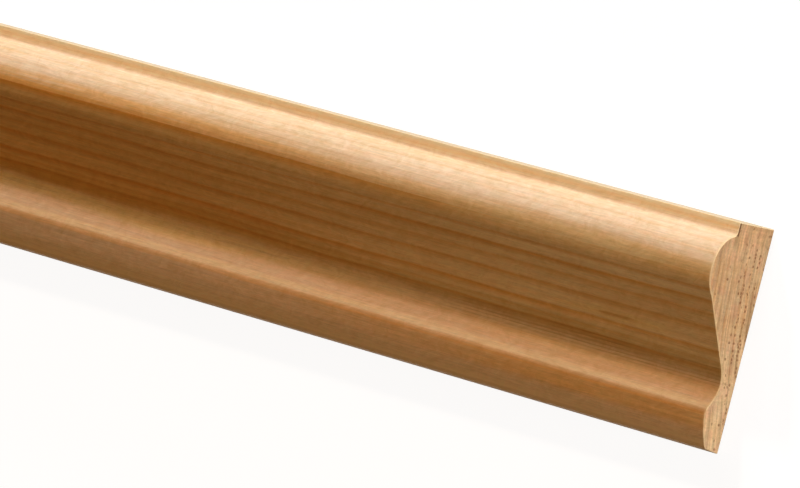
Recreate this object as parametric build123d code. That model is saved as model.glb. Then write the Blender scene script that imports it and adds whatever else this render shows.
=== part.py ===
"""Decorative wooden moulding: one straight length of profiled strip.

The strip lies on its flat back. X runs along its length, Y across its width from the
thin edge to the thick edge, Z up from the back to the moulded face. The origin is the
centre of the back. All sizes are millimetres.
"""

from build123d import *

import os
from math import sqrt

# The strip as it is sold
strip_length = 2400.0
strip_width = 28.0
strip_thickness = 12.0

# Thick edge, with the narrow flat beside the round and the small cove where they meet
thick_edge_height = 8.2
flat_width = 1.7
cove_radius = 0.5

# Round at the thickest place, ending in a sharp quirk above the slope
round_radius = 4.3
quirk_drop = 1.65

# Hollow at the foot of the slope, measured from the thin edge
hollow_from_edge = 7.8
hollow_height = 3.4
slope_foot_offset = 2.6
slope_foot_rise = 0.7

# Bead beside the thin edge, measured from the thin edge
bead_from_edge = 4.6
bead_height = 5.2

# Nose, the long front of the bead, bulging by its crown on the way down to its corner
nose_corner_from_edge = 0.8
nose_corner_height = 3.5
nose_crown = 0.25

# Thin edge, which leans back a little and has its front corner eased
thin_edge_height = 3.0
thin_edge_lean = 0.4


def round_centre() -> tuple[float, float]:
    """Return the Y and Z of the centre of the round, which meets the flat at its end."""
    centre_z = strip_thickness - round_radius
    reach = sqrt(round_radius**2 - (thick_edge_height - centre_z) ** 2)
    return flat_end() - reach, centre_z


def flat_end() -> float:
    """Return the Y where the narrow flat would meet the round if there were no cove."""
    return strip_width - flat_width


def cove_centre() -> tuple[float, float]:
    """Return the Y and Z of the centre of the cove, which touches the flat and the round."""
    centre_y, centre_z = round_centre()
    cove_z = thick_edge_height + cove_radius
    reach = sqrt((round_radius + cove_radius) ** 2 - (cove_z - centre_z) ** 2)
    return centre_y + reach, cove_z


def cove_arc() -> ThreePointArc:
    """Draw the cove from the end of the flat up to the foot of the round."""
    centre = Vector(*cove_centre())
    to_round = (Vector(*round_centre()) - centre).normalized()
    to_flat = Vector(0, -1)
    to_middle = (to_round + to_flat).normalized()
    return ThreePointArc(*(centre + way * cove_radius for way in (to_flat, to_middle, to_round)))


def quirk_point() -> tuple[float, float]:
    """Return the Y and Z of the sharp inner corner between the round and the slope."""
    centre_y, centre_z = round_centre()
    height = strip_thickness - quirk_drop
    return centre_y - sqrt(round_radius**2 - (height - centre_z) ** 2), height


def slope_foot() -> tuple[float, float]:
    """Return the Y and Z where the straight slope runs into the hollow."""
    return hollow_from_edge + slope_foot_offset, hollow_height + slope_foot_rise


def rise_point() -> tuple[float, float]:
    """Return the Y and Z halfway up from the hollow to the bead."""
    return (hollow_from_edge + bead_from_edge) / 2, (hollow_height + bead_height) / 2


def nose_shoulder() -> tuple[float, float]:
    """Return the Y and Z of the crown halfway along the front of the bead."""
    middle_y = (bead_from_edge + nose_corner_from_edge) / 2
    middle_z = (bead_height + nose_corner_height) / 2
    return middle_y, middle_z + nose_crown


def moulded_outline() -> Wire:
    """Draw the closed section, local x across the width and local y up from the back."""
    centre_y, centre_z = round_centre()
    quirk = quirk_point()
    foot = slope_foot()
    shoulder = nose_shoulder()
    nose_corner = (nose_corner_from_edge, nose_corner_height)
    slope_direction = (foot[0] - quirk[0], foot[1] - quirk[1])
    nose_direction = (nose_corner[0] - shoulder[0], nose_corner[1] - shoulder[1])
    cove = cove_arc()
    flats = Polyline(
        nose_corner,
        (thin_edge_lean, thin_edge_height),
        (0, 0),
        (strip_width, 0),
        (strip_width, thick_edge_height),
        cove @ 0,
    )
    round_over = ThreePointArc(cove @ 1, (centre_y, strip_thickness), quirk)
    slope = Line(quirk, foot)
    hollow_and_bead = Spline(
        foot,
        (hollow_from_edge, hollow_height),
        rise_point(),
        (bead_from_edge, bead_height),
        shoulder,
        nose_corner,
        tangents=(slope_direction, nose_direction),
    )
    return Wire(
        [*flats.edges(), cove.edge(), round_over.edge(), slope.edge(), hollow_and_bead.edge()]
    )


def moulding() -> Solid:
    """Extrude the section along X, centred on the origin."""
    section_plane = Plane(
        origin=(-strip_length / 2, -strip_width / 2, 0),
        x_dir=(0, 1, 0),
        z_dir=(1, 0, 0),
    )
    section = section_plane * make_face(moulded_outline().edges())
    return extrude(section, amount=strip_length).solid()


def main() -> None:
    """Build the strip and write its STEP file."""
    os.makedirs("parts", exist_ok=True)
    strip = moulding()
    strip.label = "moulding"
    export_step(strip, "parts/moulding.step")


if __name__ == "__main__":
    main()
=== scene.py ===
"""Looks of a decorative pine moulding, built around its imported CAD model.

The strip lies on its flat back. X runs along its length, Y across its width towards the
thick edge, and Z up through the moulded face. The origin is the centre of the back.
Sections are given in millimetres, as a joiner would, and everything placed in the
scene is in metres.
"""

import logging
import math
from dataclasses import dataclass, field
from enum import Enum

import bpy
import numpy as np
from mathutils import Matrix, Vector


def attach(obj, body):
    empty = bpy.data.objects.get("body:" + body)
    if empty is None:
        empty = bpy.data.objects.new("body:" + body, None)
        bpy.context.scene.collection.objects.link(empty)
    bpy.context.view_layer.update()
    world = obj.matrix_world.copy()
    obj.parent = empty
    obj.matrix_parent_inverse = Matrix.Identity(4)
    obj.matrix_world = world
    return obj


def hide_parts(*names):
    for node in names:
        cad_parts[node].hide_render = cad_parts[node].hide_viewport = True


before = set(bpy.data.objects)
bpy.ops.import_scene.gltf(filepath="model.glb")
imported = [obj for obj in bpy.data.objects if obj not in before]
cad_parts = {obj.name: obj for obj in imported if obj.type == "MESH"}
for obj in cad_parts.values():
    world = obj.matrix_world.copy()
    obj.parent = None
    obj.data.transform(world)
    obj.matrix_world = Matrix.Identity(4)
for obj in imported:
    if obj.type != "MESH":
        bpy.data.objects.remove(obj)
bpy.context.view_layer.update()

MM = 0.001

log = logging.getLogger("moulding")

Node = bpy.types.Node
Socket = bpy.types.NodeSocket
Tree = bpy.types.NodeTree
Outputs = bpy.types.bpy_prop_collection
Colour = tuple[float, float, float, float]

ORIGIN = (0.0, 0.0, 0.0)
WHITE = (1, 1, 1, 1)
HALF_LENGTH = 1200.0
FLAT_SPACING = 2.5
RELIEF_UNIT = 0.01 * MM
NEAR_EDGE = "near_edge"
NODES_IN_A_ROW = 12
NODE_STEP = (190, -230)
PLAIN_KINDS = {float: "NodeSocketFloat", int: "NodeSocketInt"}


class Face(Enum):
    """The two kinds of face that a length of machined timber has."""

    PLANED = "planed"
    SAWN = "sawn"


class Graph:
    """A node tree with short calls for adding, linking and naming its parts."""

    def __init__(self, tree: Tree) -> None:
        """Take over a shader or geometry tree."""
        self.tree = tree
        self.count = 0

    def add(
        self, kind: str, label: str = "", values: dict | None = None, **settings: object
    ) -> Node:
        """Add a node.

        Args:
            kind: Blender's name for the node type.
            label: What the node is for, shown in the editor.
            values: What its inputs get, by their name or number.
            **settings: Node properties by name.

        Returns:
            The new node.
        """
        node = self.tree.nodes.new(kind)
        node.label = label
        line, column = divmod(self.count, NODES_IN_A_ROW)
        node.location = (NODE_STEP[0] * column, NODE_STEP[1] * line)
        self.count += 1
        for name, value in settings.items():
            setattr(node, name, value)
        for name, value in (values or {}).items():
            self.put(node.inputs[name], value)
        return node

    def put(self, socket: Socket, value: object) -> None:
        """Link an input to another node's output, or set it where the value is a plain one."""
        if isinstance(value, Socket):
            self.tree.links.new(value, socket)
        else:
            socket.default_value = value

    def math(self, operation: str, *values: object, clamp: bool = False) -> Socket:
        """Add a Math node.

        Args:
            operation: Blender's name for the sum.
            *values: Up to three numbers or outputs.
            clamp: Whether the result is kept between 0 and 1.

        Returns:
            The result.
        """
        settings = {"operation": operation, "use_clamp": clamp}
        return self.add("ShaderNodeMath", "", dict(enumerate(values)), **settings).outputs[0]

    def minus(self, first: object, second: object) -> Socket:
        """Return the first value less the second."""
        return self.math("SUBTRACT", first, second)

    def times(self, first: object, *others: object) -> Socket:
        """Return the product of the values."""
        for value in others:
            first = self.math("MULTIPLY", first, value)
        return first

    def plus(self, base: object, value: object, share: object) -> Socket:
        """Return the base with a share of the value added."""
        return self.math("MULTIPLY_ADD", value, share, base)

    def total(self, *layers: tuple[Socket, float]) -> Socket:
        """Return the sum of the layers, each by its own share."""
        height = self.times(*layers[0])
        for layer, share in layers[1:]:
            height = self.plus(height, layer, share)
        return height

    def swayed(self, value: object, noise: Socket, amount: object) -> Socket:
        """Return the value moved up and down by a noise that is a half on average."""
        return self.plus(value, self.minus(noise, 0.5), amount)

    def wave(self, turn: Socket) -> Socket:
        """Return a wave between 0 and 1, by its turn in radians."""
        return self.plus(0.5, self.math("SINE", turn), 0.5)

    def near(self, away: Socket, reach: object) -> Socket:
        """Return 1 at no distance, falling evenly to 0 at the reach."""
        return self.math("SUBTRACT", 1.0, self.math("DIVIDE", away, reach), clamp=True)

    def off(self, value: Socket, centre: object) -> Socket:
        """Return how far a value lies from a centre, to either side."""
        return self.math("ABSOLUTE", self.minus(value, centre))

    def spread(
        self,
        value: object,
        low: object,
        high: object,
        to_low: float = 0.0,
        to_high: float = 1.0,
        smooth: bool = True,
    ) -> Socket:
        """Map a range of values onto another, held at both ends.

        Args:
            value: The output to map.
            low: Where the range starts.
            high: Where it ends.
            to_low: What the start becomes.
            to_high: What the end becomes.
            smooth: Whether the step eases in and out.

        Returns:
            The mapped value.
        """
        values = {"Value": value, "From Min": low, "From Max": high}
        values |= {"To Min": to_low, "To Max": to_high}
        kind = "SMOOTHSTEP" if smooth else "LINEAR"
        return self.add("ShaderNodeMapRange", "", values, interpolation_type=kind).outputs["Result"]

    def fall(self, value: object, low: object, high: object) -> Socket:
        """Return 1 up to the low value, easing down to 0 at the high one."""
        return self.spread(value, low, high, 1.0, 0.0)

    def band(self, value: Socket, centre: object, inner: float, outer: float) -> Socket:
        """Return 1 within the inner distance of a centre, easing down to 0 at the outer one."""
        return self.fall(self.off(value, centre), inner, outer)

    def contrast(self, noise: Socket, share: float) -> Socket:
        """Return a factor that varies by a share either way about 1."""
        return self.spread(noise, 0.28, 0.72, 1 - share, 1 + share, smooth=False)

    def vector(self, operation: str, *values: object) -> Socket:
        """Return the vector from a Vector Math node, by Blender's name for the sum."""
        values = dict(enumerate(values))
        return self.add("ShaderNodeVectorMath", "", values, operation=operation).outputs["Vector"]

    def scale(self, vector: Socket, factor: object) -> Socket:
        """Return a vector made longer by a factor."""
        values = {0: vector, "Scale": factor}
        return self.add("ShaderNodeVectorMath", "", values, operation="SCALE").outputs["Vector"]

    def turned(self, vector: Socket, axis: str, angle: object) -> Socket:
        """Return a vector turned about an axis by an angle in radians."""
        values = {"Vector": vector, "Angle": angle}
        return self.add("ShaderNodeVectorRotate", "", values, rotation_type=axis).outputs[0]

    def split(self, vector: Socket) -> Outputs:
        """Return a vector's X, Y and Z."""
        return self.add("ShaderNodeSeparateXYZ", "", {0: vector}).outputs

    def join(self, *values: object) -> Socket:
        """Return the vector with the given X, Y and Z, of which the last ones may be left out."""
        return self.add("ShaderNodeCombineXYZ", "", dict(enumerate(values))).outputs[0]

    def noise(
        self,
        place: Socket,
        stretch: tuple[float, float, float],
        detail: float = 2.0,
        roughness: float = 0.5,
        label: str = "",
    ) -> Socket:
        """Add a noise that is stretched differently along each axis.

        Args:
            place: The position.
            stretch: Cells in each unit of length along X, Y and Z.
            detail: How many finer octaves are laid over it.
            roughness: How strong the finer octaves are.
            label: What the noise is for.

        Returns:
            A value between 0 and 1, about 0.5 on average.
        """
        values = {"Vector": self.vector("MULTIPLY", place, stretch), "Scale": 1.0}
        values |= {"Detail": detail, "Roughness": roughness}
        settings = {"noise_dimensions": "3D", "normalize": True}
        return self.add("ShaderNodeTexNoise", label, values, **settings).outputs[0]

    def blend(self, share: object, first: object, second: object, kind: str = "MIX") -> Socket:
        """Mix two colours.

        Args:
            share: How much of the second is mixed in.
            first: The colour underneath.
            second: The colour laid over it.
            kind: Blender's name for the way they mix.

        Returns:
            The mixed colour.
        """
        values = {0: share, 6: first, 7: second}
        return self.add("ShaderNodeMix", "", values, data_type="RGBA", blend_type=kind).outputs[2]

    def stain(self, colour: Socket, shade: object, share: object = 1.0) -> Socket:
        """Return a colour multiplied by a shade, as strongly as its share says."""
        return self.blend(share, colour, shade, "MULTIPLY")


class Group(Graph):
    """A node group in the making, with named inputs and outputs."""

    def __init__(
        self,
        name: str,
        inputs: dict[str, object],
        outputs: tuple[str, ...],
        output_kind: str = "NodeSocketFloat",
        tree_kind: str = "ShaderNodeTree",
    ) -> None:
        """Start the group.

        Args:
            name: The group's name.
            inputs: Its inputs in order, each with its value or with its kind of socket.
            outputs: Its outputs in order.
            output_kind: The kind of socket that they are.
            tree_kind: Whether it is a shader or a geometry tree.
        """
        super().__init__(bpy.data.node_groups.new(name, tree_kind))
        sockets = self.tree.interface
        for title, value in inputs.items():
            socket = sockets.new_socket(title, in_out="INPUT", socket_type=socket_kind(value))
            if not isinstance(value, str):
                socket.default_value = value
        for title in outputs:
            sockets.new_socket(title, in_out="OUTPUT", socket_type=output_kind)
        self.given = self.add("NodeGroupInput").outputs
        self.result = self.add("NodeGroupOutput").inputs

    def deliver(self, **values: Socket) -> Tree:
        """Send values to the outputs, named with underscores for spaces, and return the tree."""
        for name, value in values.items():
            self.put(self.result[name.replace("_", " ")], value)
        return self.tree


def socket_kind(value: object) -> str:
    """Return the kind of socket that holds a value, or the kind itself where that is given."""
    if isinstance(value, tuple):
        return "NodeSocketVector" if len(value) == len(ORIGIN) else "NodeSocketColor"
    return value if isinstance(value, str) else PLAIN_KINDS[type(value)]


def emptied(owner: bpy.types.ID) -> Tree:
    """Return the node tree of a material or a world, with its first nodes taken out."""
    owner.use_nodes = True
    owner.node_tree.nodes.clear()
    return owner.node_tree


def stand(name: str, data: bpy.types.ID) -> bpy.types.Object:
    """Add an object to the scene, at the origin and unturned, and return it."""
    added = bpy.data.objects.new(name, data)
    bpy.context.scene.collection.objects.link(added)
    return added


@dataclass(frozen=True)
class Section:
    """The moulding's section in millimetres: y from the thin edge, z up from the back."""

    width: float = 28.0
    thickness: float = 12.0
    thick_edge_height: float = 8.2
    flat_width: float = 1.7
    cove_radius: float = 0.5
    round_radius: float = 4.3
    quirk_drop: float = 1.65
    hollow_from_edge: float = 7.8
    hollow_height: float = 3.4
    slope_foot_offset: float = 2.6
    slope_foot_rise: float = 0.7
    bead_from_edge: float = 4.6
    bead_height: float = 5.2
    nose_corner_from_edge: float = 0.8
    nose_corner_height: float = 3.5
    nose_crown: float = 0.25
    crest_half_width: float = 0.45
    crest_drop: float = 0.10
    thin_edge_height: float = 3.0
    thin_edge_lean: float = 0.4
    arris: float = 0.16
    thin_arris: float = 0.128
    wear_reach: float = 0.8

    def round_centre(self) -> np.ndarray:
        """Return the centre of the round."""
        centre_z = self.thickness - self.round_radius
        rise = self.thick_edge_height - centre_z
        reach = math.sqrt(self.round_radius**2 - rise**2)
        return np.array((self.width - self.flat_width - reach, centre_z))

    def cove_centre(self) -> np.ndarray:
        """Return the centre of the cove, which touches the flat and the round."""
        middle = self.round_centre()
        cove_z = self.thick_edge_height + self.cove_radius
        reach = math.sqrt((self.round_radius + self.cove_radius) ** 2 - (cove_z - middle[1]) ** 2)
        return np.array((middle[0] + reach, cove_z))

    def cove_points(self) -> np.ndarray:
        """Return the cove, from the flat up to the foot of the round."""
        middle = self.cove_centre()
        towards = self.round_centre() - middle
        turn = np.linspace(math.tau * 0.75, math.atan2(towards[1], towards[0]) % math.tau, 8)
        return middle + self.cove_radius * np.column_stack((np.cos(turn), np.sin(turn)))

    def round_points(self) -> np.ndarray:
        """Return the round, from the cove over its top to the quirk."""
        middle = self.round_centre()
        away = self.cove_centre() - middle
        drop = self.thickness - self.quirk_drop - middle[1]
        end = math.pi - math.asin(drop / self.round_radius)
        turn = np.linspace(math.atan2(away[1], away[0]), end, 34)
        return middle + self.round_radius * np.column_stack((np.cos(turn), np.sin(turn)))

    def ogee_points(self, quirk: np.ndarray) -> np.ndarray:
        """Return the hollow and the bead as one smooth curve.

        Args:
            quirk: Where the round ends and the slope begins.

        Returns:
            Points from the foot of the slope to the corner of the nose.
        """
        hollow = np.array((self.hollow_from_edge, self.hollow_height))
        foot = hollow + np.array((self.slope_foot_offset, self.slope_foot_rise))
        bead = np.array((self.bead_from_edge, self.bead_height))
        corner = np.array((self.nose_corner_from_edge, self.nose_corner_height))
        shoulder = (bead + corner) / 2 + np.array((0.0, self.nose_crown))
        rear, front = (
            bead + np.array((side * self.crest_half_width, -self.crest_drop)) for side in (1, -1)
        )
        rise = (hollow + bead) / 2
        knots = np.array((foot, hollow, rise, rear, bead, front, shoulder, corner))
        return smooth_curve(knots, foot - quirk, corner - shoulder, 60)

    def outline(self) -> tuple[np.ndarray, np.ndarray]:
        """Draw the closed section with its corners eased.

        Returns:
            The points, counter-clockwise from the thin edge's foot, and how near each
            one lies to an outer corner, from 0 to 1.
        """
        cove = self.cove_points()
        over = self.round_points()
        ogee = self.ogee_points(over[-1])
        slope = np.linspace(over[-1], ogee[0], 14)[1:-1]
        corners = [
            np.array((0.0, 0.0)),
            np.array((self.width, 0.0)),
            np.array((self.width, self.thick_edge_height)),
            cove[0],
            ogee[-1],
            np.array((self.thin_edge_lean, self.thin_edge_height)),
        ]
        points: list[np.ndarray] = []
        for k in range(3):
            points += ease(corners[k - 1], corners[k], corners[k + 1], self.arris)
            points += run(corners[k], corners[k + 1], self.arris)
        points += [*cove[:-1], *over, *slope, *ogee[:-1]]
        points += ease(ogee[-2], corners[4], corners[5], self.thin_arris)
        points += ease(corners[4], corners[5], corners[0], self.thin_arris)
        points += run(corners[5], corners[0], self.arris)
        drawn = np.array(points)
        outer = np.array([corners[k] for k in (0, 1, 2, 4, 5)])
        away = np.linalg.norm(drawn[:, None, :] - outer[None, :, :], axis=2).min(axis=1)
        return drawn, np.exp(-((away / self.wear_reach) ** 2))


def smooth_curve(
    knots: np.ndarray, start: np.ndarray, end: np.ndarray, count: int
) -> np.ndarray:
    """Draw a curve with steady curvature through a few knots.

    Args:
        knots: The points to pass through.
        start: The direction at the first knot.
        end: The direction at the last knot.
        count: How many points to return.

    Returns:
        Points evenly spaced along the curve.
    """
    step = np.linalg.norm(np.diff(knots, axis=0), axis=1)
    along = np.concatenate(([0.0], np.cumsum(step)))
    size = len(knots)
    matrix = np.zeros((size, size))
    known = np.zeros((size, 2))
    matrix[0, 0] = matrix[-1, -1] = 1.0
    known[0] = start / np.linalg.norm(start)
    known[-1] = end / np.linalg.norm(end)
    for k in range(1, size - 1):
        before, after = step[k - 1], step[k]
        matrix[k, k - 1 : k + 2] = (after, 2 * (before + after), before)
        known[k] = 3 * (
            after * (knots[k] - knots[k - 1]) / before + before * (knots[k + 1] - knots[k]) / after
        )
    slopes = np.linalg.solve(matrix, known)
    drawn = []
    for place in np.linspace(0.0, along[-1], count):
        k = min(int(np.searchsorted(along, place, side="right")) - 1, size - 2)
        t = (place - along[k]) / step[k]
        drawn.append(
            (2 * t**3 - 3 * t**2 + 1) * knots[k]
            + (t**3 - 2 * t**2 + t) * step[k] * slopes[k]
            + (3 * t**2 - 2 * t**3) * knots[k + 1]
            + (t**3 - t**2) * step[k] * slopes[k + 1]
        )
    return np.array(drawn)


def ease(before: np.ndarray, corner: np.ndarray, after: np.ndarray, cut: float) -> list[np.ndarray]:
    """Round a corner of the section.

    Args:
        before: The point that the outline comes from.
        corner: The sharp corner.
        after: The point that it goes to.
        cut: How far from the corner the rounding starts, in millimetres.

    Returns:
        The points of the eased corner.
    """
    away = [(p - corner) / np.linalg.norm(p - corner) * cut + corner for p in (before, after)]
    return [
        (1 - t) ** 2 * away[0] + 2 * t * (1 - t) * corner + t**2 * away[1]
        for t in np.linspace(0.0, 1.0, 6)
    ]


def run(start: np.ndarray, end: np.ndarray, cut: float) -> list[np.ndarray]:
    """Return the points inside a flat, close to its eased corners and along it.

    Args:
        start: The corner where the flat starts.
        end: The corner where it ends.
        cut: How much of each end the eased corner takes.

    Returns:
        Points along the flat, without its ends.
    """
    length = float(np.linalg.norm(end - start))
    close, clear = cut * 1.6, cut * 2.6
    middle = max(int(length / FLAT_SPACING), 1)
    places = [close, clear]
    places += list(np.linspace(clear, length - clear, middle + 1)[1:-1])
    places += [length - clear, length - close]
    return [start + (end - start) * place / length for place in places]


@dataclass(frozen=True)
class GrowthYear:
    """One year's dark latewood: its depth, strength and width, and its share of canals."""

    depth: float
    strength: float
    width: float = 0.5
    canals: float = 0.03

    def latewood_stops(self) -> list[tuple[float, float]]:
        """Return the line's profile: it darkens slowly outwards and stops short."""
        return [
            (self.depth - self.width, 0.0),
            (self.depth - self.width * 0.35, self.strength * 0.62),
            (self.depth, self.strength),
            (self.depth + self.width * 0.42, 0.0),
        ]

    def canal_stops(self) -> list[tuple[float, float]]:
        """Return how likely a resin canal is around the year's latewood."""
        return [
            (self.depth - 0.62, 0.0),
            (self.depth - 0.3, self.canals),
            (self.depth + 0.12, self.canals),
            (self.depth + 0.3, 0.0),
        ]


YEARS = (
    GrowthYear(0.55, 0.55, 0.4, 0.25),
    GrowthYear(1.3, 0.0, 0.4, 0.3),
    GrowthYear(2.05, 0.62, 0.4, 0.5),
    GrowthYear(3.3, 0.7, 0.45, 0.85),
    GrowthYear(4.65, 0.8, 0.45, 0.9),
    GrowthYear(5.6, 0.3, 0.3, 0.35),
    GrowthYear(6.3, 0.66, 0.3, 0.2),
    GrowthYear(6.75, 0.35, 0.25),
    GrowthYear(7.42, 0.86, 0.46, 0.12),
    GrowthYear(7.96, 0.15, 0.3),
    GrowthYear(8.86, 0.66, 0.46),
    GrowthYear(9.86, 0.48, 0.42),
    GrowthYear(10.77, 0.86, 0.44),
    GrowthYear(11.83, 0.66, 0.34),
    GrowthYear(12.45, 0.25, 0.2),
    GrowthYear(13.4, 0.6, 0.4),
)


RING_REACH = 14.0
FIRST_RADIUS = 98.14
STEADY_DEPTH = 9.8
CLOSEST_STOPS = 0.02


def growth_rings_group() -> Tree:
    """Build the group for the timber's growth rings.

    The rings are wide cylinders about a pith far below the strip, so one rule draws the
    arcs on the cut ends and the long lines on the moulded face.

    Returns:
        The node group, which puts out the dark line, the depth in millimetres and how
        likely a resin canal is.
    """
    group = Group(
        "Growth rings",
        {
            "Place": ORIGIN,
            "Pith Y": 19.2,
            "Pith Z": -98.0,
            "Wander": 0.25,
            "Bow": 0.12,
            "Bow length": 180.0,
            "Closing": 0.16,
            "Closing length": 500.0,
        },
        ("Latewood", "Depth", "Canal zone"),
    )
    place = group.given["Place"]
    along, row, height = group.split(place)
    across = group.minus(row, group.given["Pith Y"])
    above = group.minus(height, group.given["Pith Z"])
    radius = group.math("SQRT", group.plus(group.times(above, above), across, across))
    depth = group.minus(radius, FIRST_RADIUS)
    inward = group.minus(HALF_LENGTH, along)
    moved = depth
    for name, span in (("Bow", 1.0), ("Closing", group.minus(depth, STEADY_DEPTH))):
        turn = group.times(group.math("DIVIDE", inward, group.given[f"{name} length"]), math.tau)
        sway = group.times(group.math("SINE", turn), group.given[name])
        moved = group.plus(moved, sway, span)
    drift = group.noise(place, (1 / 95, 1 / 16, 1 / 16), 1.5, label="slow drift of the grain")
    moved = group.swayed(moved, drift, group.given["Wander"])
    for stretch, amount in (((1 / 24, 1 / 4, 1 / 4), 0.34), ((1 / 6.5, 1 / 1.3, 1 / 1.3), 0.14)):
        moved = group.swayed(moved, group.noise(place, stretch, 1.0, label="waves"), amount)
    share = group.math("DIVIDE", moved, RING_REACH)
    uneven = group.noise(place, (1 / 38, 1 / 2.6, 1 / 2.6), label="lines fade and darken")
    lines = group.times(
        depth_curve(group, share, [stop for year in YEARS for stop in year.latewood_stops()]),
        group.spread(uneven, 0.3, 0.7, 0.6, 1.15, smooth=False),
        # The lines weaken towards the thick edge, over the brightly lit round: a painted highlight
        # that washes out the grain.
        group.spread(row, 8.2, 10.0, 1.0, 0.35),
        group.spread(row, -5.1, -3.9, 0.12, 1.0),
    )
    zones = depth_curve(group, share, [stop for year in YEARS for stop in year.canal_stops()])
    return group.deliver(Latewood=lines, Depth=moved, Canal_zone=zones)


def depth_curve(group: Group, share: Socket, stops: list[tuple[float, float]]) -> Socket:
    """Look a value up by its depth in the timber.

    Args:
        group: The growth rings' group.
        share: The depth as a share of the rings' reach.
        stops: Depths in millimetres, with the value at each.

    Returns:
        The value.
    """
    node = group.add("ShaderNodeFloatCurve", "by depth", {"Value": share})
    curve = node.mapping.curves[0]
    curve.points[0].location = (0.0, 0.0)
    curve.points[1].location = (1.0, 0.0)
    before = -1.0
    for depth, value in sorted(stops):
        if before + CLOSEST_STOPS < depth < RING_REACH:
            curve.points.new(depth / RING_REACH, value)
            before = depth
    for point in curve.points:
        point.handle_type = "VECTOR"
    node.mapping.update()
    return node.outputs[0]


def wood_fibre_group() -> Tree:
    """Build the group for pine's fine fibres.

    The fibres are long along X, so a long face shows streaks and a cut end shows specks.

    Returns:
        The node group, which puts out streaks, flecks, broad patches and a blush.
    """
    names = ("Streaks", "Flecks", "Patches", "Blush")
    group = Group("Wood fibre", {"Place": ORIGIN, "Fineness": 1.0}, names)
    place = group.scale(group.given["Place"], group.given["Fineness"])
    looks = (
        ((1 / 14, 2.4, 2.4), 3.0, 0.62),
        ((1 / 2.2, 7.5, 7.5), 2.0, 0.6),
        ((1 / 30, 1 / 4.2, 1 / 4.2), 2.5, 0.6),
        ((1 / 9, 1 / 1.7, 1 / 1.7), 3.0, 0.6),
    )
    for name, look in zip(names, looks):
        group.deliver(**{name: group.noise(place, *look, name.lower())})
    return group.tree


def resin_canals_group() -> Tree:
    """Build the group for resin canals, which run along the grain near the latewood.

    Returns:
        The node group, which puts out dots on a cut end and thin dashes on a long face.
    """
    inputs = {"Place": ORIGIN, "Depth": 0.0, "Zone": 0.0, "Size": 0.4}
    group = Group("Resin canals", inputs, ("Canals",))
    place, size = group.given["Place"], group.given["Size"]
    row = group.split(place)["Y"]
    cells = group.join(group.times(row, 2.0), group.times(group.given["Depth"], 1.7))
    spots = group.add(
        "ShaderNodeTexVoronoi",
        "one canal in each cell",
        {"Vector": cells, "Scale": 1.0, "Randomness": 0.75},
        voronoi_dimensions="2D",
        feature="F1",
    )
    away = spots.outputs["Distance"]
    inside = group.fall(away, group.times(size, 0.4), group.times(size, 1.35))
    pick = group.add("ShaderNodeSeparateColor", "", {0: spots.outputs["Color"]}).outputs[0]
    runs = group.noise(place, (0.01, 0.42, 0.9), 1.5, label="runs of canals")
    chance = group.times(group.given["Zone"], group.spread(runs, 0.4, 0.58, 0.15, 1.0))
    return group.deliver(Canals=group.times(inside, group.math("LESS_THAN", pick, chance)))


def to_cut_end(group: Group) -> Socket:
    """Return how far a point lies from the nearer cut end, in millimetres."""
    along = group.math("ABSOLUTE", group.split(group.given["Place"])["X"])
    return group.minus(group.given["Half length"], along)


def edge_wear_group() -> Tree:
    """Build the group for eased and rubbed edges.

    Returns:
        The node group, which puts out how worn the surface is near an edge or cut end.
    """
    inputs = {"Place": ORIGIN, "Half length": HALF_LENGTH, "Reach": 0.35}
    group = Group("Edge wear", inputs, ("Wear",))
    settings = {"attribute_type": "GEOMETRY", "attribute_name": NEAR_EDGE}
    edge = group.add("ShaderNodeAttribute", "nearness to a long edge", **settings).outputs["Fac"]
    both = group.math("MAXIMUM", edge, group.near(to_cut_end(group), group.given["Reach"]))
    rough = group.noise(group.given["Place"], (0.5, 1.7, 1.7), 3.0, label="uneven wear")
    return group.deliver(Wear=group.times(both, group.spread(rough, 0.3, 0.6, 0.45, 1.0)))


def cutter_marks_group() -> Tree:
    """Build the group for the marks that a moulding cutter leaves.

    Returns:
        The node group, which puts out the faint ripple across the strip, the fine lines
        that nicks in the knives leave in the hollow near the cut ends, and the fuzz.
    """
    group = Group(
        "Cutter marks",
        {
            "Place": ORIGIN,
            "Pitch": 1.35,
            "Lines Y": -4.8,
            "Lines reach": 1.35,
            "Lines pitch": 0.42,
            "Lines from": 1140.0,
            "Lines full": 1168.0,
        },
        ("Ripple", "Lines", "Fuzz"),
    )
    place = group.given["Place"]
    along, row, _ = group.split(place)
    pushed = group.noise(place, (0.21, 0.5, 0.5), label="push the fuzz about")
    tufts = group.vector("ADD", group.turned(place, "Z_AXIS", 0.6), group.times(pushed, 5.0))
    fuzz = group.noise(tufts, (1.15, 0.62, 0.62), 3.5, 0.7, "fuzz across the grain")
    turn = group.math("DIVIDE", group.times(along, math.tau), group.given["Pitch"])
    there = group.near(group.off(row, group.given["Lines Y"]), group.given["Lines reach"])
    uneven = group.noise(place, (1 / 60, 0.8, 0.02), 1.0, label="uneven spacing")
    turns = group.times(group.math("DIVIDE", row, group.given["Lines pitch"]), math.tau)
    nicks = group.wave(group.plus(turns, uneven, 5.0))
    fade = group.noise(place, (1 / 22, 0.5, 0.02), 1.0, label="where the lines fade")
    lines = group.times(
        group.spread(nicks, 0.45, 0.9),
        group.spread(there, 0.0, 0.3),
        group.spread(
            group.math("ABSOLUTE", along), group.given["Lines from"], group.given["Lines full"]
        ),
        group.spread(fade, 0.35, 0.6),
    )
    return group.deliver(Ripple=group.wave(turn), Lines=lines, Fuzz=fuzz)


def saw_marks_group() -> Tree:
    """Build the group for the fine scratches of a saw across the cut end.

    Returns:
        The node group, which puts out the scratches.
    """
    group = Group("Saw marks", {"Place": ORIGIN, "Angle": 1.25}, ("Scratches",))
    turned = group.turned(group.given["Place"], "X_AXIS", group.given["Angle"])
    scratches = group.noise(turned, (0.4, 5.5, 0.35), 3.0, 0.65, "scratches")
    return group.deliver(Scratches=scratches)


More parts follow.
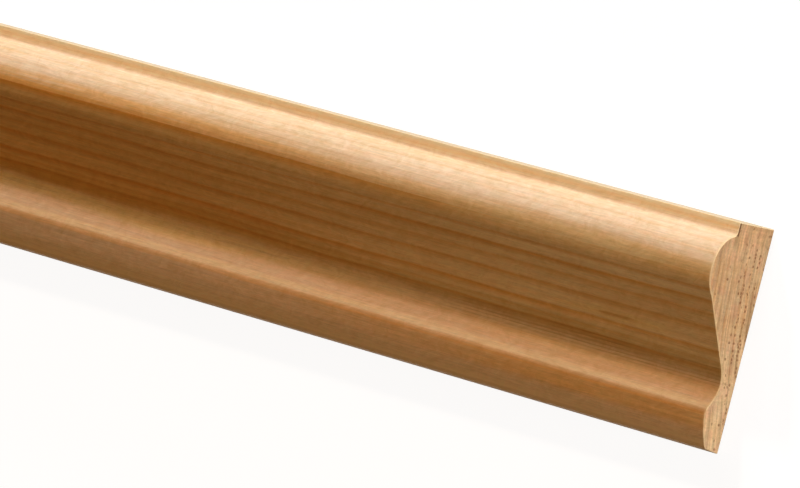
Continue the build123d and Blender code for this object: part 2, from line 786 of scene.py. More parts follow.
def end_grain_group() -> Tree:
    """Build the group for timber cut across its fibres.

    Returns:
        The node group, which puts out the layers and thin seams that follow the rings,
        the rays that cross them, the open pores and the dark rim along the narrow flat, partly
        torn fibres and partly painted shadow in the notch.
    """
    group = Group(
        "End grain",
        {"Place": ORIGIN, "Depth": 0.0, "Tear Y": 12.3, "Tear Z": 8.02},
        ("Layers", "Seams", "Rays", "Pores", "Tear"),
    )
    place = group.given["Place"]
    along, row, height = group.split(place)
    bent = group.join(along, row, group.given["Depth"])
    layers = group.noise(bent, (0.05, 0.14, 1.3), 4.0, 0.68, "layers")
    seams = group.noise(bent, (0.05, 0.085, 1.15), 1.5, label="seams")
    broken = group.noise(bent, (0.05, 0.5, 1.6), 1.0, label="where the seams break off")
    seams = group.times(group.band(seams, 0.5, 0.0, 0.035), group.spread(broken, 0.38, 0.56))
    rays = group.noise(bent, (0.05, 2.6, 0.3), 2.0, 0.6, "rays")
    pores = group.noise(place, (0.4, 3.4, 3.4), 3.0, 0.62, "pores")
    ragged = group.plus(group.off(height, group.given["Tear Z"]), pores, 0.22)
    past = group.minus(row, group.given["Tear Y"])
    # The dark rim along the narrow flat: partly torn fibres, partly painted shadow in the notch.
    tear_shade = group.times(group.fall(ragged, 0.28, 0.46), group.spread(past, -0.15, 0.1))
    return group.deliver(Layers=layers, Seams=seams, Rays=rays, Pores=pores, Tear=tear_shade)


def dry_ends_group() -> Tree:
    """Build the group for the greyer tone that timber takes near its cut ends.

    Returns:
        The node group, which puts out how dry the timber is.
    """
    inputs = {"Place": ORIGIN, "Half length": HALF_LENGTH, "Reach": 85.0}
    group = Group("Dry ends", inputs, ("Dryness",))
    share = group.math("DIVIDE", to_cut_end(group), group.given["Reach"])
    cloud = group.noise(group.given["Place"], (1 / 40, 1 / 5, 1 / 5), label="clouds")
    cloud = group.spread(cloud, 0.25, 0.75, 0.55, 1.0)
    return group.deliver(Dryness=group.times(group.fall(share, 0.2, 1.2), cloud))


def tone_across_group() -> Tree:
    """Build the group for the change of colour across the strip.

    Rows are Y in millimetres, from the middle of the strip towards the thick edge. Part of the
    colour is the timber's own tone and part of it is painted light and shade.

    Returns:
        The node group, which puts out the redder heart under the slope, partly heartwood and
        partly painted shade, where it has dried, the orange along the crown of the round and its
        dark border, both partly latewood and partly painted shade, the darker foot of the slope as
        painted shade, the paler hollow as painted light, the bead's crest, paler and on the lower
        nose painted light, its flank and nose with the dark line above it, the narrow flat, paler
        as painted light, with its line and its pale rim, a painted highlight along the arris, the
        thick edge, and how far a point lies towards that edge.
    """
    bead = ("Crest", "Flank", "Nose", "Bead line")
    flat = ("Flat", "Flat line", "Rim", "Edge", "Thick side")
    group = Group(
        "Tone across",
        {
            "Place": ORIGIN,
            "Dryness": 0.0,
            "Heart from": -4.2,
            "Heart to": 7.38,
            "Flat from": 12.7,
            "Bead line": -9.15,
            "Edge from": 13.95,
        },
        ("Heart", "Dry", "Crown", "Border", "Foot", "Hollow", *bead, *flat),
    )
    place, dry = group.given["Place"], group.given["Dryness"]
    wet = group.math("SUBTRACT", 1.0, dry, clamp=True)
    row = group.split(place)["Y"]
    ragged = group.noise(place, (1 / 34, 1 / 4, 1 / 4), label="ragged border")
    ragged = group.swayed(row, ragged, 2.4)
    level = group.noise(place, (1 / 26, 1 / 9, 1 / 9), label="waver of the border")
    level = group.swayed(row, level, 0.3)
    streaks = group.noise(place, (1 / 30, 1.1, 1.1), 2.5, 0.6, "orange streaks")
    # The heart's tone fills the slope, which lies in shade, and stops in a crisp edge near the
    # crown where the light gives out on the round: partly heartwood, partly painted shade.
    past = group.plus(group.minus(level, group.given["Heart to"]), dry, 0.5)
    start = group.spread(group.minus(ragged, group.given["Heart from"]), -0.8, 0.7)
    soft = group.times(dry, group.fall(past, 0.2, 2.2))
    crisp = group.times(wet, group.fall(past, -0.12, 0.16))
    heart = group.times(start, group.math("ADD", soft, crisp))
    shade = group.band(past, -1.3, 0.4, 1.1)
    dried = group.times(heart, dry, group.plus(1.0, shade, -0.35))
    # Orange along the crown of the round: partly latewood breaking out, partly painted shade where
    # the light fades over the round.
    crown = group.times(group.spread(past, -0.25, 0.1), group.fall(past, 0.9, 2.7))
    crown = group.times(crown, wet, group.spread(streaks, 0.3, 0.62, 0.25, 1.0))
    # The dark border at the heart's upper edge: partly a latewood line, partly a painted shade line
    # where the light gives out on the round.
    border = group.times(group.fall(past, -0.04, 0.05), group.spread(past, -1.3, -0.15))
    upper = group.times(group.spread(row, -8.9, -6.9), dry)
    narrow = group.times(group.spread(row, -7.6, -6.8), group.times(wet, 0.5))
    # The paler crest of the bead; the part on the lower front of the nose is painted light where
    # that face turns away from the light.
    crest = group.math("MAXIMUM", group.band(row, -8.4, 0.15, 0.7), group.fall(row, -12.0, -10.8))
    nose = group.times(group.fall(row, -9.45, -8.95), group.spread(row, -12.0, -10.7, 0.15, 1.0))
    line = group.spread(streaks, 0.3, 0.62, 0.5, 1.0)
    # The paler narrow flat is painted light, as if more light fell on it from above.
    flat = group.spread(group.minus(row, group.given["Flat from"]), -0.2, 0.25)
    on_top = group.math("LESS_THAN", row, group.given["Edge from"])
    return group.deliver(
        Heart=heart,
        Dry=group.plus(dried, group.times(shade, wet), 0.22),
        Crown=crown,
        Border=group.times(border, group.spread(wet, 0.08, 0.5, 0.35, 1.0)),
        # The darker foot of the slope is painted shade in the crease where the slope meets the
        # hollow.
        Foot=group.band(group.plus(ragged, dry, 0.7), -3.3, 0.2, 1.7),
        # The paler hollow is painted light, lifting the shade that the hollow lies in.
        Hollow=group.times(group.band(ragged, -5.5, 0.4, 1.5), group.plus(1.0, dry, -0.7)),
        Crest=crest,
        Flank=group.times(group.math("ADD", upper, narrow), group.fall(row, -6.2, -5.2)),
        Nose=group.times(nose, dry),
        Bead_line=group.band(row, group.given["Bead line"], 0.15, 0.55),
        Flat=group.times(flat, on_top),
        Flat_line=group.times(group.band(level, 13.3, 0.08, 0.32), line),
        # The pale rim along the thick edge's arris is a painted highlight.
        Rim=group.times(group.spread(row, 13.5, 13.75), on_top),
        Edge=group.math("GREATER_THAN", row, group.given["Edge from"]),
        Thick_side=group.spread(row, -13.0, 9.0, smooth=False),
    )


def mottle_group() -> Tree:
    """Build the group for the faint colour mottling of planed timber.

    Returns:
        The node group, which puts out a tint to multiply a colour by.
    """
    rosy, olive = (1.018, 0.994, 0.985, 1), (0.985, 1.008, 0.985, 1)
    inputs = {"Place": ORIGIN, "Rosy": rosy, "Olive": olive}
    group = Group("Mottle", inputs, ("Tint",), "NodeSocketColor")
    tilted = group.turned(group.given["Place"], "Z_AXIS", -0.5)
    stirred = group.noise(tilted, (0.13, 0.3, 0.3), 1.0, label="stir")
    moved = group.vector("ADD", tilted, group.vector("MULTIPLY", stirred, (6.0, 4.0, 4.0)))
    clouds = group.spread(group.noise(moved, (0.5, 0.9, 0.9), 3.0, 0.7, "mottle"), 0.36, 0.64)
    return group.deliver(Tint=group.blend(clouds, group.given["Rosy"], group.given["Olive"]))


def resin_streak_group() -> Tree:
    """Build the group for the one short resin streak near the visible cut end.

    Returns:
        The node group, which puts out the dark streak and the stained halo round it.
    """
    inputs = {"Place": ORIGIN, "Middle": (1185.0, -0.85, 6.1), "Size": (3.4, 0.3, 3.0)}
    group = Group("Resin streak", inputs, ("Streak", "Halo"))
    place = group.given["Place"]
    ragged = group.noise(place, (0.35, 1.6, 1.6), label="ragged streak")
    off = group.vector("SUBTRACT", place, group.given["Middle"])
    off = group.vector("DIVIDE", off, group.given["Size"])
    span = group.add("ShaderNodeVectorMath", "", {0: off}, operation="LENGTH")
    away = group.swayed(span.outputs["Value"], ragged, 1.1)
    return group.deliver(Streak=group.fall(away, 0.35, 1.0), Halo=group.fall(away, 1.0, 3.2))


@dataclass(frozen=True)
class SharedEffects:
    """The node groups that the finishes share, each built once."""

    rings: Tree = field(default_factory=growth_rings_group)
    fibre: Tree = field(default_factory=wood_fibre_group)
    canals: Tree = field(default_factory=resin_canals_group)
    wear: Tree = field(default_factory=edge_wear_group)
    cutter: Tree = field(default_factory=cutter_marks_group)
    saw: Tree = field(default_factory=saw_marks_group)
    end_grain: Tree = field(default_factory=end_grain_group)
    dry_ends: Tree = field(default_factory=dry_ends_group)
    tone: Tree = field(default_factory=tone_across_group)
    mottle: Tree = field(default_factory=mottle_group)
    resin_streak: Tree = field(default_factory=resin_streak_group)


class Timber(Graph):
    """A material's graph, with the patterns that the solid timber has at each place."""

    def __init__(self, material: bpy.types.Material, effects: SharedEffects) -> None:
        """Empty a material and place the timber's groups in it.

        Args:
            material: The material.
            effects: The shared node groups.
        """
        super().__init__(emptied(material))
        self.effects = effects
        coordinates = self.add("ShaderNodeTexCoord")
        values = {"Vector": coordinates.outputs["Object"], "Scale": (1 / MM, 1 / MM, 1 / MM)}
        scaled = self.add("ShaderNodeMapping", "to millimetres", values, vector_type="POINT")
        self.place = scaled.outputs["Vector"]
        self.rings = self.use(effects.rings)
        self.fibre = self.use(effects.fibre)
        depth, zone = self.rings["Depth"], self.rings["Canal zone"]
        self.canals = self.use(effects.canals, Depth=depth, Zone=zone)["Canals"]
        self.dryness = self.use(effects.dry_ends)["Dryness"]
        self.tone = self.use(effects.tone, Dryness=self.dryness)

    def use(self, tree: Tree, **values: Socket) -> Outputs:
        """Place a shared effect at the timber's place and return its outputs."""
        node = self.add("ShaderNodeGroup", tree.name, node_tree=tree)
        for name, value in {"Place": self.place, **values}.items():
            self.put(node.inputs[name], value)
        return node.outputs


@dataclass(frozen=True)
class MachinedTones:
    """Machined faces' tones from the heart out to the edges, painted light and shade among them."""

    dry: Colour
    crown: Colour
    hollow: Colour
    crest: Colour
    nose: Colour
    flat: Colour
    rim: Colour
    flat_line: Colour
    foot_warm: Colour
    foot_dry: Colour
    edge: Colour
    worn: Colour
    wear_strength: float
    nick: Colour
    nick_strength: float
    halo: Colour
    halo_strength: float
    streak: Colour
    streak_strength: float
    fuzz_dark: Colour
    fuzz_light: Colour
    border_share: float
    flank_share: float
    bead_line_share: float

    def lay(self, timber: Timber, colour: Socket, latewood: Colour) -> Socket:
        """Lay the tones, painted light and shade among them, over the timber, row by row across the
        strip.

        Args:
            timber: The timber.
            colour: Its colour so far.
            latewood: The latewood's stain, which darkens the flank, the line and the border, where
                it also stands for painted shade.

        Returns:
            The colour.
        """
        tone = timber.tone
        # The crown here is partly painted shade; the hollow, the lower crest and the flat are
        # painted light, and the rim a painted highlight.
        for name, paint in (
            ("Dry", self.dry),
            ("Crown", self.crown),
            ("Hollow", self.hollow),
            ("Crest", self.crest),
            ("Nose", self.nose),
            ("Flat", self.flat),
            ("Rim", self.rim),
        ):
            colour = timber.blend(tone[name], colour, paint)
        colour = timber.stain(colour, self.flat_line, tone["Flat line"])
        # Painted shade: the foot of the slope is darkened, in a warmer or a drier shade by the
        # dryness.
        foot = timber.blend(timber.dryness, self.foot_warm, self.foot_dry)
        colour = timber.stain(colour, foot, tone["Foot"])
        for name, share in (
            ("Border", self.border_share),
            ("Flank", self.flank_share),
            ("Bead line", self.bead_line_share),
        ):
            colour = timber.stain(colour, latewood, timber.times(tone[name], share))
        return colour


@dataclass(frozen=True)
class TornShadedRim:
    """The dark rim of a cut end, partly torn fibres and partly painted shadow, and how strongly its
    thin seams show.
    """

    colour: Colour
    strength: float
    seam_strength: float


@dataclass(frozen=True)
class PineFinish:
    """Bare pine: its colours, and how strongly each effect shows on one kind of face."""

    face: Face
    earlywood: Colour
    patch: Colour
    blush: Colour
    heart: Colour
    latewood_stain: Colour
    canal: Colour
    ring_strength: float
    streak_strength: float
    fleck_strength: float
    patch_strength: float
    blush_strength: float
    canal_strength: float
    relief: float
    roughness: float
    own: MachinedTones | TornShadedRim
    specular: float = 0.15

    def build(self, effects: SharedEffects) -> bpy.types.Material:
        """Make the material.

        Args:
            effects: The shared node groups.

        Returns:
            The finished material.
        """
        material = bpy.data.materials.new(f"pine_{self.face.value}")
        timber = Timber(material, effects)
        planed = self.face is Face.PLANED
        colour = self._timber(timber, timber.tone["Heart" if planed else "Thick side"])
        worked = self._planed if planed else self._sawn
        colour, height = worked(timber, colour)
        spots = timber.times(timber.canals, self.canal_strength)
        colour = timber.blend(spots, colour, self.canal)
        colour = timber.stain(colour, timber.use(effects.mottle)["Tint"])
        if planed:
            colour = timber.stain(colour, self.own.edge, timber.tone["Edge"])
        self._finish(timber, colour, height)
        return material

    def _timber(self, timber: Timber, heart: Socket) -> Socket:
        """Lay the timber's own uneven tones over each other.

        Args:
            timber: The timber.
            heart: How much of the heart's colour shows.

        Returns:
            The colour.
        """
        colour = timber.blend(heart, self.earlywood, self.heart)
        patches = timber.spread(timber.fibre["Patches"], 0.36, 0.66, 0.0, self.patch_strength)
        colour = timber.stain(colour, self.patch, patches)
        blush = timber.spread(timber.fibre["Blush"], 0.46, 0.68, 0.0, self.blush_strength)
        return timber.stain(colour, self.blush, blush)

    def _grained(self, timber: Timber, colour: Socket) -> Socket:
        """Stain the latewood and lay the fine fibres over it.

        Args:
            timber: The timber.
            colour: The colour so far.

        Returns:
            The colour with its grain.
        """
        latewood = timber.rings["Latewood"]
        dark = timber.math("MULTIPLY", latewood, self.ring_strength, clamp=True)
        colour = timber.stain(colour, self.latewood_stain, dark)
        streaks = timber.contrast(timber.fibre["Streaks"], self.streak_strength)
        flecks = timber.contrast(timber.fibre["Flecks"], self.fleck_strength)
        return timber.stain(colour, timber.times(streaks, flecks))

    def _planed(self, timber: Timber, colour: Socket) -> tuple[Socket, Socket]:
        """Finish a machined face.

        Args:
            timber: The timber.
            colour: Its colour.

        Returns:
            The colour, and the relief in hundredths of a millimetre.
        """
        own = self.own
        marks = timber.use(timber.effects.cutter)
        resin = timber.use(timber.effects.resin_streak)
        colour = own.lay(timber, colour, self.latewood_stain)
        for name, paint, share in (
            ("Halo", own.halo, own.halo_strength),
            ("Streak", own.streak, own.streak_strength),
        ):
            colour = timber.stain(colour, paint, timber.times(resin[name], share))
        colour = self._grained(timber, colour)
        colour = timber.stain(colour, own.nick, timber.times(marks["Lines"], own.nick_strength))
        fuzz = timber.spread(marks["Fuzz"], 0.3, 0.7, smooth=False)
        colour = timber.stain(colour, timber.blend(fuzz, own.fuzz_dark, own.fuzz_light))
        wear = timber.use(timber.effects.wear)["Wear"]
        colour = timber.blend(timber.times(wear, own.wear_strength), colour, own.worn)
        return colour, timber.total(
            (timber.fibre["Streaks"], 0.9),
            (timber.fibre["Flecks"], 0.4),
            (timber.rings["Latewood"], 0.3),
            (marks["Ripple"], 0.03),
            (marks["Fuzz"], 0.5),
            (marks["Lines"], -1.2),
            (timber.canals, -0.5),
        )

    def _sawn(self, timber: Timber, colour: Socket) -> tuple[Socket, Socket]:
        """Finish a cut end.

        Args:
            timber: The timber.
            colour: Its colour.

        Returns:
            The colour, and the relief in hundredths of a millimetre.
        """
        own = self.own
        grain = timber.use(timber.effects.end_grain, Depth=timber.rings["Depth"])
        scratches = timber.use(timber.effects.saw)["Scratches"]
        colour = self._grained(timber, colour)
        for noise, share in (
            (grain["Layers"], 0.38),
            (grain["Rays"], 0.09),
            (grain["Pores"], 0.1),
            (scratches, 0.05),
        ):
            colour = timber.stain(colour, timber.contrast(noise, share))
        seams = timber.times(grain["Seams"], own.seam_strength)
        colour = timber.stain(colour, self.latewood_stain, seams)
        # The dark rim: torn fibres and painted shadow in the notch by the narrow flat.
        colour = timber.blend(timber.times(grain["Tear"], own.strength), colour, own.colour)
        return colour, timber.total(
            (scratches, 1.6),
            (grain["Pores"], 1.8),
            (timber.rings["Latewood"], 0.8),
            (grain["Tear"], -4.0),
            (timber.canals, -2.5),
        )

    def _finish(self, timber: Timber, colour: Socket, height: Socket) -> None:
        """Put the colour and the relief into the shader.

        Args:
            timber: The timber, whose fibres vary the roughness.
            colour: The colour.
            height: The relief.
        """
        smooth, coarse = self.roughness - 0.06, self.roughness + 0.08
        streaks = timber.fibre["Streaks"]
        values = {"Strength": self.relief, "Distance": RELIEF_UNIT, "Height": height}
        bump = timber.add("ShaderNodeBump", "", values)
        values = {
            "Base Color": colour,
            "Roughness": timber.spread(streaks, 0.3, 0.7, smooth, coarse, smooth=False),
            "Specular IOR Level": self.specular,
            "Normal": bump.outputs[0],
        }
        shader = timber.add("ShaderNodeBsdfPrincipled", "", values)
        timber.add("ShaderNodeOutputMaterial", "", {"Surface": shader.outputs[0]})


PLANED_PINE = PineFinish(
    face=Face.PLANED,
    earlywood=(0.87, 0.628, 0.428, 1),
    patch=(0.94, 0.915, 0.82, 1),
    blush=(0.975, 0.925, 0.87, 1),
    # On the machined faces this colour is partly heartwood and partly the painted shade of the
    # slope.
    heart=(0.79, 0.470, 0.160, 1),
    latewood_stain=(0.84, 0.60, 0.29, 1),
    canal=(0.36, 0.180, 0.070, 1),
    ring_strength=1.25,
    streak_strength=0.08,
    fleck_strength=0.1,
    patch_strength=0.85,
    blush_strength=0.6,
    canal_strength=0.2,
    relief=0.6,
    roughness=0.6,
    own=MachinedTones(
        dry=(0.96, 0.740, 0.410, 1),
        # Crown: partly latewood orange, partly painted shade.
        crown=(0.86, 0.450, 0.135, 1),
        # Paler hollow: painted light.
        hollow=(0.97, 0.715, 0.350, 1),
        # Paler crest, painted light on the lower nose.
        crest=(0.95, 0.70, 0.43, 1),
        nose=(0.83, 0.460, 0.150, 1),
        # Paler flat: painted light.
        flat=(1.0, 0.75, 0.475, 1),
        # Pale rim: painted highlight along the arris.
        rim=(0.99, 0.86, 0.62, 1),
        flat_line=(0.96, 0.82, 0.60, 1),
        # Foot colours: painted shade at the foot of the slope.
        foot_warm=(0.84, 0.77, 0.56, 1),
        foot_dry=(0.78, 0.80, 0.74, 1),
        edge=(0.84, 0.900, 0.980, 1),
        worn=(0.98, 0.720, 0.400, 1),
        wear_strength=0.9,
        nick=(0.66, 0.52, 0.36, 1),
        nick_strength=0.45,
        halo=(1.0, 0.93, 0.62, 1),
        halo_strength=0.45,
        streak=(0.64, 0.44, 0.24, 1),
        streak_strength=0.6,
        fuzz_dark=(0.925, 0.885, 0.805, 1),
        fuzz_light=(1.075, 1.11, 1.19, 1),
        # The border's darkening is partly latewood and partly painted shade.
        border_share=0.9,
        flank_share=0.6,
        bead_line_share=0.6,
    ),
)


SAWN_PINE = PineFinish(
    face=Face.SAWN,
    earlywood=(0.86, 0.615, 0.355, 1),
    patch=(0.95, 0.88, 0.80, 1),
    blush=(0.98, 0.87, 0.92, 1),
    heart=(0.72, 0.475, 0.258, 1),
    latewood_stain=(0.72, 0.56, 0.40, 1),
    canal=(0.27, 0.120, 0.050, 1),
    ring_strength=1.0,
    streak_strength=0.03,
    fleck_strength=0.05,
    patch_strength=0.9,
    blush_strength=0.8,
    canal_strength=0.8,
    relief=0.9,
    roughness=0.75,
    # The rim's dark colour is partly torn fibre and partly painted shadow.
    own=TornShadedRim(colour=(0.14, 0.06, 0.025, 1), strength=0.8, seam_strength=0.34),
)


class StripSweep(Group):
    """The node tree that runs the drawn section along the strip."""

    def __init__(self) -> None:
        """Build the tree, from the path to the finishes of its faces."""
        inputs = {
            "Section": "NodeSocketGeometry",
            "Length": "NodeSocketFloat",
            "Stations": "NodeSocketInt",
            "End arris": "NodeSocketFloat",
            "Planer wander": "NodeSocketFloat",
            "Back height": "NodeSocketFloat",
            "Planed": "NodeSocketMaterial",
            "Sawn": "NodeSocketMaterial",
        }
        kinds = ("NodeSocketGeometry", "GeometryNodeTree")
        super().__init__("Run the section along", inputs, ("Strip",), *kinds)
        self.half = self.math("DIVIDE", self.given["Length"], 2.0)
        swept = self.swept(self.path())
        self.deliver(Strip=self.dressed(self.wandering(self.eased(swept))))

    def place(self) -> Socket:
        """Return a point's position."""
        return self.add("GeometryNodeInputPosition").outputs[0]

    def path(self) -> Socket:
        """Draw the straight path, with one more station close inside each end.

        Returns:
            The path as a curve.
        """
        arris, stations = self.given["End arris"], self.given["Stations"]
        inner = self.minus(self.half, arris)
        start, end = self.join(self.times(inner, -1.0)), self.join(inner)
        line = self.add(
            "GeometryNodeMeshLine",
            "stations",
            {"Count": stations, "Start Location": start, "Offset": end},
            mode="END_POINTS",
            count_mode="TOTAL",
        )
        index = self.add("GeometryNodeInputIndex").outputs[0]
        last = self.minus(stations, 1.0)
        is_end = [self.math("COMPARE", index, number, 0.5) for number in (0.0, last)]
        side = self.math("SIGN", self.split(self.place())["X"])
        longer = self.add(
            "GeometryNodeExtrudeMesh",
            "last stations",
            {
                "Mesh": line.outputs["Mesh"],
                "Selection": self.math("ADD", *is_end),
                "Offset": self.join(self.times(side, arris)),
                "Offset Scale": 1.0,
            },
            mode="VERTICES",
        )
        curve = self.add("GeometryNodeMeshToCurve", "", {"Mesh": longer.outputs["Mesh"]})
        values = {"Curve": curve.outputs["Curve"]}
        return self.add("GeometryNodeSetCurveNormal", "", values, mode="Z_UP").outputs["Curve"]

    def swept(self, path: Socket) -> Socket:
        """Run the drawn section along the path and close both ends.

        Args:
            path: The path.

        Returns:
            The swept solid.
        """
        outline = self.add("GeometryNodeMeshToCurve", "", {"Mesh": self.given["Section"]})
        outline = outline.outputs["Curve"]
        values = {"Curve": path, "Profile Curve": outline, "Fill Caps": True}
        return self.add("GeometryNodeCurveToMesh", "sweep", values).outputs["Mesh"]

    def sunk(self, mesh: Socket, depth: Socket, label: str, **chosen: Socket) -> Socket:
        """Sink the long faces into the section.

        Args:
            mesh: The solid.
            depth: How far each point sinks.
            label: What the step is for.
            **chosen: The selection, where not every point moves.

        Returns:
            The solid with its faces moved.
        """
        normal = self.add("GeometryNodeInputNormal").outputs[0]
        outward = self.vector("NORMALIZE", self.vector("MULTIPLY", normal, (0.0, 1.0, 1.0)))
        inward = self.scale(outward, self.times(depth, -1.0))
        values = {"Geometry": mesh, "Offset": inward, **chosen}
        return self.add("GeometryNodeSetPosition", label, values).outputs["Geometry"]

    def eased(self, mesh: Socket) -> Socket:
        """Draw the last station in, which breaks the sharp edge round each cut end.

        Args:
            mesh: The swept solid.

        Returns:
            The solid with its ends eased.
        """
        arris = self.given["End arris"]
        along = self.math("ABSOLUTE", self.split(self.place())["X"])
        at_end = self.math("GREATER_THAN", along, self.plus(self.half, arris, -0.5))
        return self.sunk(mesh, arris, "break the end arris", Selection=at_end)

    def wandering(self, mesh: Socket) -> Socket:
        """Let the moulded faces wander a hair's breadth, as a planed strip does.

        Args:
            mesh: The solid.

        Returns:
            The solid with its faces, all but the back, no longer perfectly true.
        """
        place = self.place()
        wave = self.noise(place, (18.0, 220.0, 220.0), 1.0, label="slow wander of the cut")
        above = self.math("GREATER_THAN", self.split(place)["Z"], self.given["Back height"])
        return self.sunk(mesh, self.times(wave, above, self.given["Planer wander"]), "wander")

    def dressed(self, mesh: Socket) -> Socket:
        """Give the long faces and the cut ends their own finishes.

        Args:
            mesh: The solid.

        Returns:
            The dressed solid.
        """
        real = self.add("GeometryNodeRealizeInstances", "", {0: mesh}).outputs[0]
        values = {"Geometry": real, "Material": self.given["Planed"]}
        planed = self.add("GeometryNodeSetMaterial", "planed faces", values).outputs["Geometry"]
        normal = self.add("GeometryNodeInputNormal").outputs[0]
        endways = self.math("ABSOLUTE", self.split(normal)["X"])
        values = {
            "Geometry": planed,
            "Selection": self.math("GREATER_THAN", endways, 0.9),
            "Material": self.given["Sawn"],
        }
        return self.add("GeometryNodeSetMaterial", "sawn ends", values).outputs["Geometry"]


def set_inputs(modifier: bpy.types.Modifier, values: dict[str, object]) -> None:
    """Set a Geometry Nodes modifier's inputs by their names in the tree.

    Args:
        modifier: The modifier.
        values: The values by socket name.
    """
    for item in modifier.node_group.interface.items_tree:
        if item.item_type == "SOCKET" and item.in_out == "INPUT" and item.name in values:
            modifier[item.identifier] = values[item.name]


@dataclass
class MouldingStrip:
    """The length of moulding: its section, its length and its finishes."""

    section: Section
    length: float = 2.4
    stations: int = 241
    end_arris: float = 0.00010
    planer_wander: float = 0.00003
    back_height: float = 0.0003
    sharp_angle: float = 26.0
    name: str = "moulding_dressed"
    node: str = "moulding"
    slot: str = "pine"

    def draw_section(self) -> bpy.types.Object:
        """Draw the section as a loop of edges, with its nearness to an edge stored.

        The sweep turns the loop half round, so it is drawn upside down.

        Returns:
            The object that holds the loop.
        """
        points, nearness = self.section.outline()
        centred = points - np.array((self.section.width / 2, 0.0))
        mesh = bpy.data.meshes.new("moulding_section")
        count = len(points)
        corners = [(-float(y) * MM, -float(z) * MM, 0.0) for y, z in centred]
        mesh.from_pydata(corners, [(k, (k + 1) % count) for k in range(count)], [])
        mesh.attributes.new(NEAR_EDGE, "FLOAT", "POINT").data.foreach_set("value", nearness)
        return stand(self.name, mesh)

    def build(self, planed: bpy.types.Material, sawn: bpy.types.Material) -> bpy.types.Object:
        """Run the section along the strip and turn the result into a plain mesh.

        Args:
            planed: The finish of the machined faces.
            sawn: The finish of the cut ends.

        Returns:
            The finished strip.
        """
        piece = self.draw_section()
        modifier = piece.modifiers.new("Run the section along", "NODES")
        modifier.node_group = StripSweep().tree
        values = {
            "Length": self.length,
            "Stations": self.stations,
            "End arris": self.end_arris,
            "Planer wander": self.planer_wander,
            "Back height": self.back_height,
            "Planed": planed,
            "Sawn": sawn,
        }
        set_inputs(modifier, values)
        bpy.context.view_layer.update()
        ready = piece.evaluated_get(bpy.context.evaluated_depsgraph_get())
        mesh = bpy.data.meshes.new_from_object(ready)
        piece.modifiers.remove(modifier)
        drawn = piece.data
        piece.data = mesh
        bpy.data.meshes.remove(drawn)
        mesh.name = self.name
        mesh.shade_smooth()
        mesh.set_sharp_from_angle(angle=math.radians(self.sharp_angle))
        return piece

    def join_frame(self, piece: bpy.types.Object) -> None:
        """Let the strip stand for its CAD node.

        Args:
            piece: The finished strip.
        """
        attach(piece, "root")
        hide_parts(self.node)


def hang_light(light: bpy.types.Light, place: Vector, away: Vector) -> bpy.types.Object:
    """Hang a lamp in the scene.

    Args:
        light: The light.
        place: Where it hangs.
        away: The direction from what it shines on to the lamp.

    Returns:
        The lamp.
    """
    lamp = stand(light.name, light)
    lamp.location = place
    lamp.rotation_euler = away.to_track_quat("Z", "Y").to_euler()
    return lamp


@dataclass(frozen=True)
class Lamp:
    """A distant soft lamp, by the direction it shines from."""

    name: str
    azimuth: float
    elevation: float
    spread: float
    strength: float
    colour: tuple[float, float, float]
    distance: float = 3.0

    def hang(self) -> bpy.types.Object:
        """Add the lamp.

        Returns:
            The lamp.
        """
        light = bpy.data.lights.new(self.name, "SUN")
        light.energy = self.strength
        light.angle = math.radians(self.spread)
        light.color = self.colour
        turn, rise = math.radians(self.azimuth), math.radians(self.elevation)
        flat = math.cos(rise)
        away = Vector((math.cos(turn) * flat, math.sin(turn) * flat, math.sin(rise)))
        return hang_light(light, away * self.distance, away)


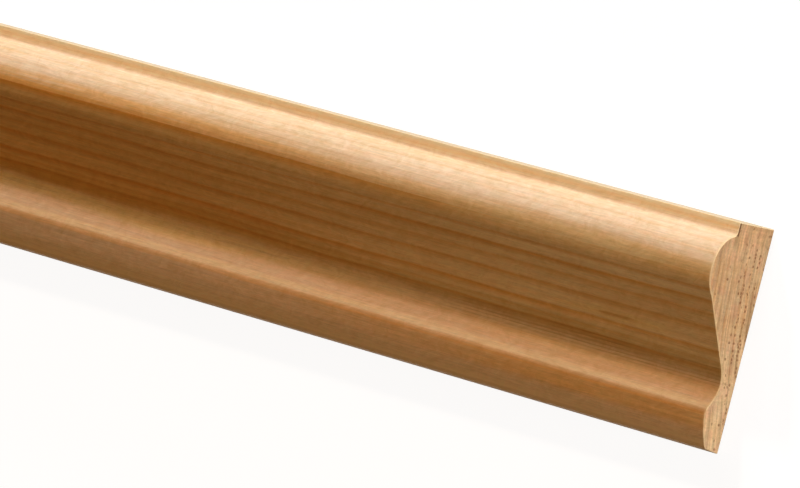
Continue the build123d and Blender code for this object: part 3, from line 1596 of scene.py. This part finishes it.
@dataclass(frozen=True)
class Studio:
    """The pale floor, the soft light and the camera."""

    floor_half: float = 12.0
    floor_gap: float = 0.0002
    floor_paint: Colour = (0.2, 0.2, 0.2, 1)
    glow: float = 0.92
    fill_colour: Colour = (1.0, 0.53, 0.17, 1)
    fill_strength: float = 0.185
    near_place: tuple[float, float, float] = (1.5, -0.01, 0.035)
    near_aim: tuple[float, float, float] = (1.2, 0.0, 0.006)
    near_size: float = 0.06
    near_power: float = 0.6
    camera_place: tuple[float, float, float] = (1.569427, 0.029886, 0.625235)
    camera_back: tuple[float, float, float] = (0.558800, 0.039441, 0.828364)
    camera_up: tuple[float, float, float] = (-0.223855, 0.968964, 0.104873)
    lens: float = 270.548
    sensor_width: float = 36.0
    nearest: float = 0.01
    farthest: float = 100.0

    def lay_floor(self) -> bpy.types.Object:
        """Lay the floor just under the strip.

        Returns:
            The floor.
        """
        reach = self.floor_half
        corners = [(-reach, -reach, 0), (reach, -reach, 0), (reach, reach, 0), (-reach, reach, 0)]
        mesh = bpy.data.meshes.new("floor")
        mesh.from_pydata(corners, [], [(0, 1, 2, 3)])
        floor = stand("floor", mesh)
        floor.location.z = -self.floor_gap
        material = bpy.data.materials.new("white_floor")
        graph = Graph(emptied(material))
        ray = graph.add("ShaderNodeLightPath").outputs
        mirrored = graph.math("MAXIMUM", ray["Is Glossy Ray"], ray["Is Transmission Ray"])
        seen = graph.math("MAXIMUM", ray["Is Camera Ray"], mirrored)
        paint = graph.add("ShaderNodeBsdfDiffuse", "", {"Color": self.floor_paint})
        values = {"Color": WHITE, "Strength": graph.times(seen, self.glow)}
        shine = graph.add("ShaderNodeEmission", "", values)
        both = graph.add("ShaderNodeAddShader", "", {0: paint.outputs[0], 1: shine.outputs[0]})
        graph.add("ShaderNodeOutputMaterial", "", {"Surface": both.outputs[0]})
        mesh.materials.append(material)
        return floor

    def light_room(self) -> None:
        """Light the room: a white surround to the eye, and a dim warm fill on the strip."""
        world = bpy.data.worlds.new("studio")
        bpy.context.scene.world = world
        graph = Graph(emptied(world))
        ray = graph.add("ShaderNodeLightPath").outputs
        seen = graph.math("MAXIMUM", ray["Is Camera Ray"], ray["Is Transmission Ray"])
        shaders = [
            graph.add("ShaderNodeBackground", "", {"Color": colour, "Strength": strength})
            for colour, strength in ((self.fill_colour, self.fill_strength), (WHITE, 1.0))
        ]
        fill, white = (shader.outputs[0] for shader in shaders)
        mix = graph.add("ShaderNodeMixShader", "", {0: seen, 1: fill, 2: white})
        graph.add("ShaderNodeOutputWorld", "", {"Surface": mix.outputs[0]})

    def hang_near_lamp(self) -> bpy.types.Object:
        """Hang the small soft lamp off the visible cut end, a little above the strip.

        Returns:
            The lamp.
        """
        light = bpy.data.lights.new("near_lamp", "AREA")
        light.shape = "DISK"
        light.size = self.near_size
        light.energy = self.near_power
        place = Vector(self.near_place)
        return hang_light(light, place, place - Vector(self.near_aim))

    def set_camera(self) -> bpy.types.Object:
        """Set up the camera at the photograph's viewing angle.

        Returns:
            The camera.
        """
        lens = bpy.data.cameras.new("camera")
        lens.lens = self.lens
        lens.sensor_width = self.sensor_width
        lens.sensor_fit = "HORIZONTAL"
        lens.clip_start = self.nearest
        lens.clip_end = self.farthest
        camera = stand("camera", lens)
        back = Vector(self.camera_back).normalized()
        right = Vector(self.camera_up).cross(back).normalized()
        turned = Matrix((right, back.cross(right), back)).transposed().to_4x4()
        turned.translation = Vector(self.camera_place)
        camera.matrix_world = turned
        bpy.context.scene.camera = camera
        return camera


LAMPS = (
    Lamp("window", 99.0, 9.0, spread=14.0, strength=2.7, colour=(0.80, 0.93, 1.0)),
    Lamp("side", 118.0, 31.0, spread=5.0, strength=1.42, colour=(1.0, 0.85, 0.70)),
)


def main() -> None:
    """Build the strip, then the studio round it, and report each piece."""
    logging.basicConfig(level=logging.INFO, format="%(name)s: %(message)s")
    effects = SharedEffects()
    planed = PLANED_PINE.build(effects)
    sawn = SAWN_PINE.build(effects)
    strip = MouldingStrip(Section())
    piece = strip.build(planed, sawn)
    strip.join_frame(piece)
    piece.data.calc_loop_triangles()
    log.info("%s: %d triangles", piece.name, len(piece.data.loop_triangles))
    studio = Studio()
    studio.lay_floor()
    studio.light_room()
    for lamp in LAMPS:
        lamp.hang()
        log.info("lamp %s", lamp.name)
    studio.hang_near_lamp()
    studio.set_camera()
    bpy.context.scene.view_settings.view_transform = "Standard"
    log.info("sizes written")


if __name__ == "__main__":
    main()
